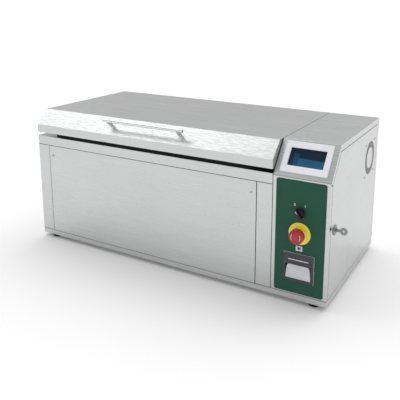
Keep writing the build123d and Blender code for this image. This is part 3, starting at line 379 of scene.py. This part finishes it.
# ------------------------------------------------------------------ pieces made here
def piece(name, mesh, body, slot, smooth=True):
    """Object from a bmesh in the frame's coordinates, riding on a CAD body."""
    bmesh.ops.recalc_face_normals(mesh, faces=mesh.faces)
    data = bpy.data.meshes.new(name)
    mesh.to_mesh(data)
    mesh.free()
    for face in data.polygons:
        face.use_smooth = smooth
    made = bpy.data.objects.new(name, data)
    scene.collection.objects.link(made)
    made.data.materials.append(looks[slot])
    if smooth:
        edges = made.modifiers.new("edges", "EDGE_SPLIT")
        edges.split_angle = math.radians(35)
    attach(made, body)
    return made


def standing(origin, normal, up):
    """Matrix from a drawing in the XY plane to a plane with this origin and outward normal."""
    z = Vector(normal).normalized()
    x = Vector(up).cross(z).normalized()
    return Matrix.Translation(origin) @ Matrix((x, z.cross(x), z)).transposed().to_4x4()


def loops_to_skin(mesh, rings, close_first=True, close_last=True):
    """Skin between loops of points of equal count, closed at its ends."""
    loops = [[mesh.verts.new(p) for p in ring] for ring in rings]
    count = len(loops[0])
    for a, b in zip(loops, loops[1:]):
        for i in range(count):
            mesh.faces.new((a[i], a[(i + 1) % count], b[(i + 1) % count], b[i]))
    if close_first:
        mesh.faces.new(loops[0])
    if close_last:
        mesh.faces.new(loops[-1])
    return mesh


def circle(radius, z, count=32, flat_sides=0):
    """Loop of points: a circle, or a regular polygon when flat_sides is given."""
    ring = []
    for i in range(count):
        angle = 2 * math.pi * i / count
        r = radius
        if flat_sides:
            half = math.pi / flat_sides
            r = radius * math.cos(half) / math.cos((angle + half) % (2 * half) - half)
        ring.append((r * math.cos(angle), r * math.sin(angle), z))
    return ring


def rounded(width, height, corner, z, steps=6):
    """Loop of points round a rectangle with rounded corners."""
    ring = []
    for quarter, (sx, sy) in enumerate(((1, 1), (-1, 1), (-1, -1), (1, -1))):
        for i in range(steps + 1):
            angle = math.pi / 2 * (quarter + i / steps)
            ring.append((sx * (width / 2 - corner) + corner * math.cos(angle),
                         sy * (height / 2 - corner) + corner * math.sin(angle), z))
    return ring


def socket_screw(radius, height):
    """Button head with a hexagon socket, from the socket's floor out over the dome."""
    socket, count = 0.52 * radius, 36
    rings = [circle(socket, part * height, count, 6) for part in (0.35, 0.92)]
    rings.append(circle(socket * 1.12, height, count))
    rings += [circle(wide * radius, part * height, count)
              for wide, part in ((0.78, 0.90), (0.94, 0.60), (1.0, 0.25), (1.0, 0.0))]
    return loops_to_skin(bmesh.new(), rings)


def ring_skin(rings):
    """Closed skin through loops of points and back to the first of them, as round a washer."""
    mesh = loops_to_skin(bmesh.new(), rings + rings[:1], False, False)
    bmesh.ops.remove_doubles(mesh, verts=mesh.verts, dist=1e-7)
    return mesh


def bar(width, height, corner, start, end):
    """Bar with rounded edges along Z."""
    return loops_to_skin(bmesh.new(), [rounded(width, height, corner, z) for z in (start, end)])


def rod_rings(radius, start, length, count=24):
    return [circle(radius, start, count), circle(radius, start + length, count)]


def screws(name, spots, normal, up, radius, height, body, slot, shank=None):
    """One piece of several equal screws; shank gives (radius, length) behind the surface."""
    whole = bmesh.new()
    for spot in spots:
        one = socket_screw(radius, height)
        if shank:
            loops_to_skin(one, rod_rings(shank[0], -shank[1], shank[1]))
        one.transform(standing(Vector(spot), normal, up))
        join(whole, one)
    return piece(name, whole, body, slot)


def join(whole, part):
    """Adds one bmesh to another and frees it."""
    data = bpy.data.meshes.new("part")
    part.to_mesh(data)
    part.free()
    whole.from_mesh(data)
    bpy.data.meshes.remove(data)


def strip_between(low, high):
    """Strip with rounded edges between two opposite corners, in the frame's coordinates."""
    low, high = Vector(low), Vector(high)
    size = high - low
    long, wide, thin = sorted(range(3), key=lambda axis: -size[axis])
    strip = bar(size[wide], size[thin], 0.3 * size[thin], -size[long] / 2, size[long] / 2)
    axes = [Vector([float(i == axis) for i in range(3)]) for axis in (wide, thin, long)]
    strip.transform(Matrix.Translation((low + high) / 2) @ Matrix(axes).transposed().to_4x4())
    return strip


case_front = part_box("front_panel")[0].y
case_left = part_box("front_rail")[0].x
case_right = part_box("service_door")[1].x
case_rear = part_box("back_panel")[1].y
label_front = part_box("label_panel")[0].y

# dark strips in the joints between the sheets are painted shade for the shadow in the gaps; those with a bead
# stand a little proud
gap, bead, proud = 1.6 * MM, 0.5 * MM, 0.15 * MM
strip_front, strip_back = case_front + 0.6 * MM, case_front + 1.45 * MM
bead_front = case_front - proud
panel_low, panel_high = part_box("front_panel")
deck_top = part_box("tank_deck")[1].z
tower_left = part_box("tower_front")[0].x
foot = panel_low.z - gap
seam_shade_strips = bmesh.new()
for low, high in (
    ((panel_low.x - gap, strip_front, foot), (panel_low.x, strip_back, panel_high.z)),
    ((panel_high.x - bead, bead_front, foot), (panel_high.x + gap + bead, strip_back, panel_high.z)),
    ((case_left, strip_front, panel_high.z), (tower_left, strip_back, panel_high.z + gap)),
    ((case_left + MM, strip_front, foot), (case_right - MM, strip_back, panel_low.z)),
    ((tower_left - gap, bead_front, panel_low.z), (tower_left + bead, strip_back, deck_top)),
):
    join(seam_shade_strips, strip_between(low, high))
door_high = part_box("service_door")[1]
slope_depth = 67 * MM
join(seam_shade_strips, strip_between((case_right - 1.4 * MM, case_front + slope_depth, door_high.z),
                          (case_right + proud, door_high.y, door_high.z + gap + bead)))
piece("painted_seam_shade", seam_shade_strips, "case", "black_rubber", smooth=False)

# screws of the front panel and the fan, in place of the plain CAD ones
head_radius, head_height, shank_radius = 3.5 * MM, 2 * MM, 2 * MM
low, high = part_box("front_panel_screws")
spots = [(x, case_front, low.z + head_radius) for x in (low.x + head_radius, high.x - head_radius)]
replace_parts(screws("panel_screw_set", spots, FRONT, UP, head_radius, head_height, "case", "zinc_steel",
                   (shank_radius, 8 * MM)), "front_panel_screws")
low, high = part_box("fan_screws")
spots = [(case_right, y, z) for y in (low.y + head_radius, high.y - head_radius)
         for z in (low.z + head_radius, high.z - head_radius)]
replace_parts(screws("fan_screw_set", spots, RIGHT, UP, head_radius, head_height, "service_door",
                   "zinc_steel", (shank_radius, case_right - low.x)), "fan_screws")

# three screws in each leaf of the lid hinges
half_leaf, screw_spacing, leaf, from_edge = 40 * MM, 28 * MM, 2 * MM, 11 * MM
for node, body in (("body_hinge_leaves", "case"), ("lid_hinge_leaves", "lid")):
    low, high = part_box(node)
    z = low.z + from_edge if body == "case" else high.z - from_edge
    spots = [(x + dx, case_rear + leaf, z) for x in (low.x + half_leaf, high.x - half_leaf)
             for dx in (-screw_spacing, 0, screw_spacing)]
    screws(f"{node}_screws", spots, REAR, UP, 3 * MM, 1.6 * MM, body, "bright_steel")

# the switch positions and the line on its lever
switch = middle_of("switch_collar")
ink = 0.15 * MM
turns = [2 * math.pi * i / 40 for i in range(40)]
ring_outer = [(2.3 * MM * math.cos(turn), 3.3 * MM * math.sin(turn)) for turn in turns]
ring_inner = [(x * 0.52, y * 0.68) for x, y in ring_outer]
zero = ring_skin([[(x, y, z) for x, y in ring]
                  for ring, z in ((ring_inner, 0), (ring_inner, ink), (ring_outer, ink), (ring_outer, 0))])
zero.transform(standing(Vector((switch.x - 15.6 * MM, label_front, switch.z + 19.7 * MM)), FRONT, UP))
piece("switch_mark_0", zero, "case", "white_plastic")
one = bar(1.3 * MM, 6.6 * MM, 0.4 * MM, 0, ink)
one.transform(standing(Vector((switch.x + 12.6 * MM, label_front, switch.z + 19.4 * MM)), FRONT, UP))
piece("switch_mark_1", one, "case", "white_plastic")

throw = next(math.radians(max(j["range_deg"])) for j in frame["joints"] if j["name"] == "switch_turn")
lever = Vector((-math.sin(throw / 2), 0, math.cos(throw / 2)))
lever_face = Vector((switch.x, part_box("switch_knob")[0].y, switch.z))
line = bar(1.4 * MM, 8.5 * MM, 0.5 * MM, -0.1 * MM, 0.12 * MM)
line.transform(standing(lever_face + lever * 7 * MM, FRONT, lever))
piece("switch_pointer", line, "switch_knob", "white_plastic")

# printer: bright edge round its frame and a strip of paper in its slot
low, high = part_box("printer_frame")
frame_middle = Vector(((low.x + high.x) / 2, label_front, (low.z + high.z) / 2))
width, height = high.x - low.x, high.z - low.z
edge = ring_skin([rounded(width + grown, height + grown, 2 * MM, z) for grown, z in
                  ((0.0, 0.0), (1.6 * MM, 0.0), (1.6 * MM, 1.0 * MM), (0.0, 1.3 * MM))])
edge.transform(standing(frame_middle, FRONT, UP))
piece("printer_edge", edge, "case", "bright_steel")

slot_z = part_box("printer_door")[1].z + 14.3 * MM
strip = bar(56 * MM, 1.7 * MM, 0.3 * MM, -4 * MM, 0.6 * MM)
strip.transform(standing(Vector((frame_middle.x, low.y, slot_z)), FRONT, UP))
piece("paper_strip", strip, "case", "paper")

# bulging cover over the printer's door, narrower at its top and round at its hinge
low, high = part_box("printer_door")
pin_reach, pin_radius, hinge_radius, swell = 2.2 * MM, 1.5 * MM, 3 * MM, 4 * MM
door_middle = (low.x + high.x) / 2
half_width = (high.x - low.x) / 2 - pin_reach
hinge_y, hinge_z = high.y - hinge_radius, low.z + hinge_radius
face_y = low.y + 2 * MM


def door_depths(z):
    """y of the printer door's front, along its middle, and of its back at a height."""
    if z < hinge_z:
        reach = math.sqrt(max(0.0, hinge_radius ** 2 - (hinge_z - z) ** 2))
        return hinge_y - reach, hinge_y + reach
    share = (z - hinge_z) / (high.z - hinge_z)
    return face_y - swell * math.sin(math.pi * share), high.y


sections = []
heights = [low.z + hinge_radius * (1 - math.cos(math.pi / 2 * i / 6)) for i in range(1, 6)]
heights += [hinge_z + (high.z - hinge_z) * i / 24 for i in range(25)]
for z in heights:
    share = (z - low.z) / (high.z - low.z)
    wide = half_width * (1 - 0.14 * share ** 1.4 - 0.10 * max(0.0, (share - 0.88) / 0.12) ** 2)
    front_y, back_y = door_depths(z)
    flat_y = max(front_y, face_y) if z > hinge_z else front_y
    across = [math.sin(math.pi / 2 * i / 12) for i in range(-12, 13)]
    outline = [(wide * x, flat_y + (front_y - flat_y) * (1 - x ** 4), z) for x in across]
    sections.append([(-wide, back_y, z)] + outline + [(wide, back_y, z)])
cover = loops_to_skin(bmesh.new(), sections)
cover.transform(Matrix.Translation((door_middle, 0, 0)))
bmesh.ops.recalc_face_normals(cover, faces=cover.faces)
for way in (-1, 1):
    pin = loops_to_skin(bmesh.new(), rod_rings(pin_radius, 0.0, pin_reach))
    pin_foot = Vector((door_middle + way * half_width, hinge_y, hinge_z))
    pin.transform(standing(pin_foot, (way, 0, 0), UP))
    join(cover, pin)
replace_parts(piece("printer_door_cover", cover, "printer_door", "grey_plastic"), "printer_door")

# three ridges to grip it by
grip = bmesh.new()
for row in range(3):
    z = high.z - (5 + 2.2 * row) * MM
    ridge = bar((22 - 3 * row) * MM, 0.9 * MM, 0.4 * MM, -0.6 * MM, 0.4 * MM)
    ridge.transform(standing(Vector((door_middle, door_depths(z)[0], z)), FRONT, UP))
    join(grip, ridge)
piece("printer_door_grip", grip, "printer_door", "grey_plastic")

# plated blades in the mains inlet, over the CAD ones
inlet = middle_of("mains_inlet")
blades = bmesh.new()
for x, z in ((7, -2), (-7, -2), (0, 2)):
    blade = loops_to_skin(bmesh.new(), [rounded(wide * MM, tall * MM, 0.3 * MM, depth * MM)
                                        for wide, tall, depth in ((2.2, 4.2, -17), (2.2, 4.2, -5),
                                                                  (1.5, 3.2, -3.8))])
    blade.transform(standing(Vector((inlet.x + x * MM, case_rear, inlet.z + z * MM)), REAR, UP))
    join(blades, blade)
piece("mains_blades", blades, "case", "bright_steel")

# turned washers under the handle posts, halfway up the slope of the lid
posts_low, posts_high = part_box("handle_posts")
lid_low, lid_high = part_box("lid_shell")
post_radius, bore = 6 * MM, 6.05
slope_run, slope_rise = 44.0 * MM, 44.5 * MM
foot_y, foot_z = lid_low.y + slope_run / 2, lid_high.z - slope_rise / 2
washers = bmesh.new()
for x in (posts_low.x + post_radius, posts_high.x - post_radius):
    washer = ring_skin([circle(radius * MM, z * MM, 40) for radius, z in
                        ((bore, 0.0), (10, 0.0), (10, 0.8), (8.6, 2.0), (bore, 2.2))])
    washer.transform(standing(Vector((x, foot_y, foot_z)), (0, -slope_rise, slope_run),
                              (0, slope_run, slope_rise)))
    join(washers, washer)
piece("handle_washers", washers, "lid", "bright_steel")

# small black round dot beside the front seam of the tower
dark_dot = loops_to_skin(bmesh.new(), [circle(radius * MM, z * MM)
                                   for radius, z in ((2.6, 0.0), (2.6, 0.6), (1.8, 1.2))])
dot_spot = Vector((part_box("tower_front")[1].x, case_front + 6 * MM, 228 * MM))
dark_dot.transform(standing(dot_spot, RIGHT, UP))
piece("side_dark_dot", dark_dot, "case", "black_plastic")

# ------------------------------------------------------------------ floor, light and camera
bpy.ops.mesh.primitive_plane_add(size=400)
floor = bpy.context.object
floor.name = "floor"
floor_tone = (0.96, 0.96, 0.96, 1.0)
floor_look, tree, shader, at, _ = new_material("floor", Base_Color=floor_tone, Roughness=0.9)
tree.links.new(tinted(tree, floor_tone, varied(tree, noise(tree, at, 3.0), 0.995, 1.005)),
               shader.inputs["Base Color"])
shader.inputs["Specular IOR Level"].default_value = 0.1
shader.inputs["Emission Color"].default_value = (1.0, 1.0, 1.0, 1.0)
seen = tree.nodes.new("ShaderNodeLightPath").outputs["Is Camera Ray"]
tree.links.new(product(tree, seen, 0.06), shader.inputs["Emission Strength"])
floor.data.materials.append(floor_look)

# the studio's light comes from the world, which itself shows white to the camera
world = bpy.data.worlds.new("studio")
scene.world = world
world.use_nodes = True
tree = world.node_tree
towards = tree.nodes.new("ShaderNodeTexCoord").outputs["Generated"]


def nearness(direction):
    """1 towards a direction in the room, falling to -1 away from it."""
    return vector_maths(tree, "DOT_PRODUCT", towards, direction).outputs["Value"]


horizon, zenith = 0.66, 0.40
dome = spread(tree, parts_of(tree, towards)[2], 0.0, 1.0, horizon, zenith)
overhead = maths(tree, "MAXIMUM", nearness((0.10, 0.55, 0.83)), 0.0)
top_glow = product(tree, maths(tree, "POWER", overhead, 6.0), 2.1)
left_box = spread(tree, nearness((-0.60, 0.0, 0.80)), 0.88, 0.965, 0.0, 1.3)
dark_wall = spread(tree, nearness((-0.10, 0.96, 0.25)), 0.72, 1.0, 1.0, 0.60)
light = product(tree, maths(tree, "ADD", maths(tree, "ADD", dome, top_glow), left_box), dark_wall)
seen = tree.nodes.new("ShaderNodeLightPath").outputs["Is Camera Ray"]
light = maths(tree, "ADD", product(tree, light, maths(tree, "SUBTRACT", 1.0, seen)), seen)
tree.links.new(light, tree.nodes["Background"].inputs["Strength"])
tree.nodes["Background"].inputs["Color"].default_value = (1.0, 1.0, 1.0, 1.0)

# camera at the photograph's angle; its lens is given by its focal length in pixels of the frame
camera_spot = (0.907, -1.5315, 0.802)
yaw, pitch, roll = math.radians(29.0), math.radians(12.3), math.radians(-0.22)
focal_pixels, frame_pixels, sensor = 569, 400, 36.0
ahead = Vector((-math.sin(yaw) * math.cos(pitch), math.cos(yaw) * math.cos(pitch), -math.sin(pitch)))
side = ahead.cross(Vector(UP)).normalized()
turn = Matrix.Rotation(roll, 3, ahead)
side, above = turn @ side, turn @ side.cross(ahead)
lens = bpy.data.cameras.new("camera")
camera = bpy.data.objects.new("camera", lens)
scene.collection.objects.link(camera)
camera.matrix_world = (Matrix.Translation(camera_spot)
                       @ Matrix((side, above, -ahead)).transposed().to_4x4())
lens.sensor_width = sensor
lens.lens = focal_pixels / frame_pixels * sensor
lens.shift_x = -0.05
lens.shift_y = -0.20
lens.clip_end = 1000
scene.camera = camera

scene.view_settings.view_transform = "Standard"
